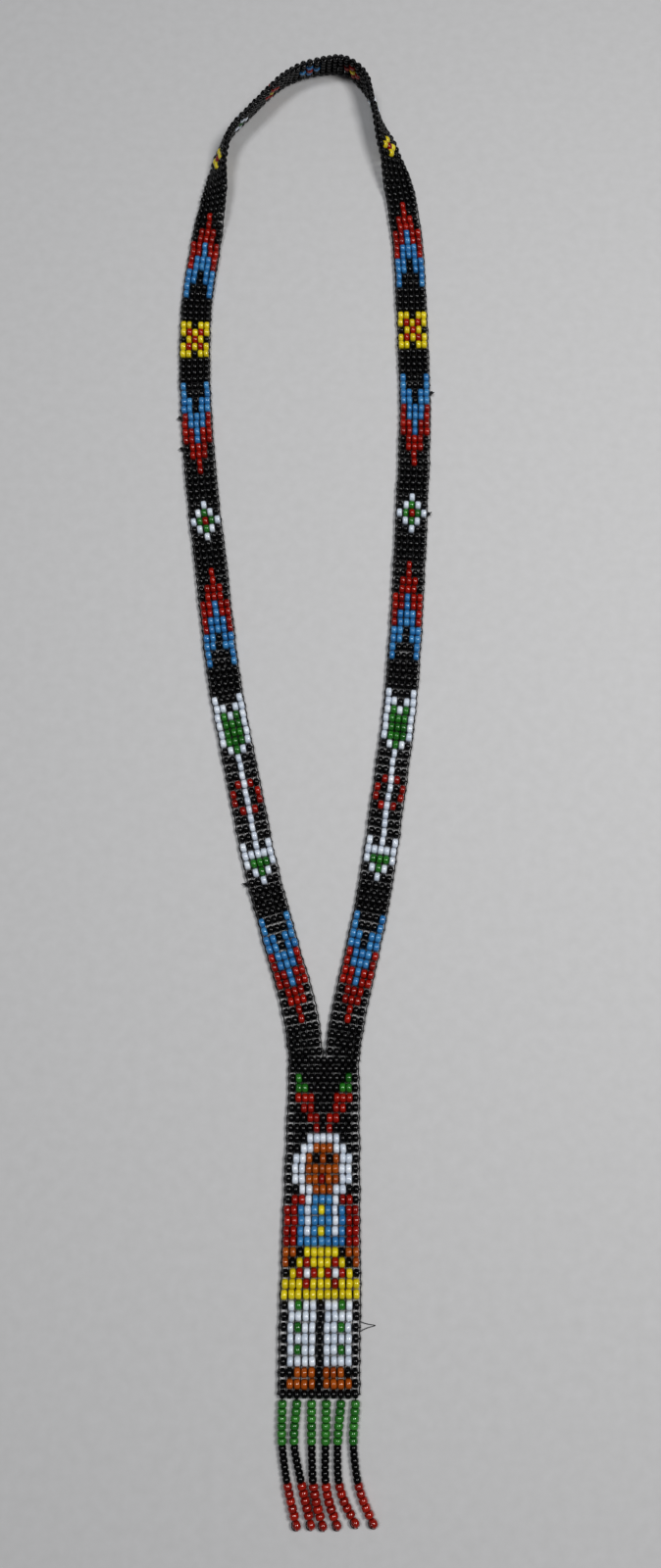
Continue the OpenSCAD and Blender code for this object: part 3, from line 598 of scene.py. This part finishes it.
# How far the thread's loop stands out from the middle of the stop, along the strand and across.
LOOP_ALONG, LOOP_ACROSS = 1.15, 1.12
FRINGE_RADIUS = {"green": 1.12, "black": 0.94, "red": 1.12}
FRINGE_HALF = {"green": 0.74, "black": 0.62, "red": 0.74}
FRINGE_GLASS = {
    "green": glass("fringe_green_glass", (33, 98, 34), (64, 138, 54), rough=0.16),
    "black": GLASS["K"],
    "red": glass("fringe_red_glass", (132, 18, 6), (176, 36, 14), rough=0.14, coat=0.8),
}
for k, (column, green_way, black_way, red_way) in enumerate(STRANDS, 1):
    rng = np.random.default_rng(70 + k)
    # The heading turns from one stretch's to the next over a few beads.
    turns_at = [0, 3, 7.5, 9.5, 15.5]
    ways = [green_way, green_way, black_way, black_way, red_way]
    way = np.radians(np.interp(np.arange(IN_LINE), turns_at, ways))
    step = (way[1:] + way[:-1]) / 2
    links = STRAND_PITCH[:, None] * np.stack([np.sin(step), np.cos(step), 0 * step], -1)
    x = FIGURE_X[-1] + (column - 5) * FIGURE_PITCH[-1]
    start = np.array([x, FIGURE_Y[-1] - FIRST_BEAD, 0.0])
    centres = np.concatenate([[start], start + np.cumsum(links, axis=0)])
    along = np.stack([np.sin(way), np.cos(way), 0 * way], -1)
    upward = np.tile([0.0, 0.0, 1.0], (IN_LINE, 1))
    stop = centres[-1] + along[-1] * STOP_DROP
    cross = np.cross(along[-1], upward[-1])
    body = f"strand_{k}"
    for c, colour in enumerate(("green", "black", "red")):
        first = OF_ONE_COLOUR * c
        pick = slice(first, min(first + OF_ONE_COLOUR, IN_LINE))
        at, hole, face = centres[pick], along[pick], upward[pick]
        if colour == "red":
            at = np.concatenate([at, [stop]])
            hole = np.concatenate([hole, [unit(cross + [0, 0, 0.5])]])
            face = np.concatenate([face, upward[:1]])
        piece = bead_piece(
            f"strand_{k}_{colour}_glass", at, hole, face,
            FRINGE_RADIUS[colour], FRINGE_HALF[colour], FRINGE_GLASS[colour], rng,
        )
        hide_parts(f"strand_{k}_{colour}_beads")
        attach(piece, body)
    top = np.array([x, FIGURE_Y[-1] - 0.25, 0.0])
    line = np.concatenate([[top], centres, [stop - along[-1] * LOOP_ALONG]])
    a = np.linspace(0, np.pi, 9)[:, None]
    loop = stop - along[-1] * LOOP_ALONG * np.cos(a) + cross * LOOP_ACROSS * np.sin(a)
    normals = [np.tile([0.0, 0.0, 1.0], (len(path), 1)) for path in (line, loop)]
    tubes(f"strand_{k}_threads", [line, loop], normals, 0.13, body, [f"strand_{k}_thread"])

# ---- Table: a plain pale top, under and all round the necklace. It is only there for the
# necklace to lie on, and has a faint grain.
floor_material, wire, shader = new_material("pale_table")
place = wire.node("ShaderNodeTexCoord", output="Object")
grain = wire.node("ShaderNodeTexNoise", {}, {"Vector": place, "Scale": 350.0, "Detail": 3.0})
pale = grain.mix(linear((196, 196, 196)), linear((206, 206, 207)))
floor_material.node_tree.links.new(pale.socket, shader.inputs["Base Color"])
shader.inputs["Roughness"].default_value = 0.9
floor_mesh = bpy.data.meshes.new("table")
HALF_TABLE = 1.5
corners = [(x * HALF_TABLE, y * HALF_TABLE, 0) for x, y in ((-1, -1), (1, -1), (1, 1), (-1, 1))]
floor_mesh.from_pydata(corners, [], [(0, 1, 2, 3)])
floor_mesh.materials.append(floor_material)
floor = bpy.data.objects.new("table", floor_mesh)
bpy.context.scene.collection.objects.link(floor)

# ---- Light: a small soft window up on the right, a higher and wider fill from the left, and a
# dim pale room all round.
def lamp(name, place, size, power, warmth):
    """A rectangular lamp that faces the origin."""
    data = bpy.data.lights.new(name, "AREA")
    data.shape = "RECTANGLE"
    data.size, data.size_y = size
    data.energy = power
    data.color = warmth
    lit = bpy.data.objects.new(name, data)
    bpy.context.scene.collection.objects.link(lit)
    lit.location = place
    aim = -np.array(place)
    tip = math.acos(-aim[2] / np.linalg.norm(aim))
    lit.rotation_euler = (tip, 0.0, math.atan2(aim[1], aim[0]) - math.pi / 2)


lamp("window", (0.28, 0.02, 0.56), (0.2, 0.2), 2.0, (1.0, 0.99, 0.98))
lamp("fill", (-0.30, 0.15, 1.1), (0.32, 0.32), 3.6, (0.97, 0.98, 1.0))
world = bpy.data.worlds.new("room")
world.use_nodes = True
background = world.node_tree.nodes["Background"]
background.inputs["Color"].default_value = (0.95, 0.97, 1.0, 1)
background.inputs["Strength"].default_value = 0.08
bpy.context.scene.world = world
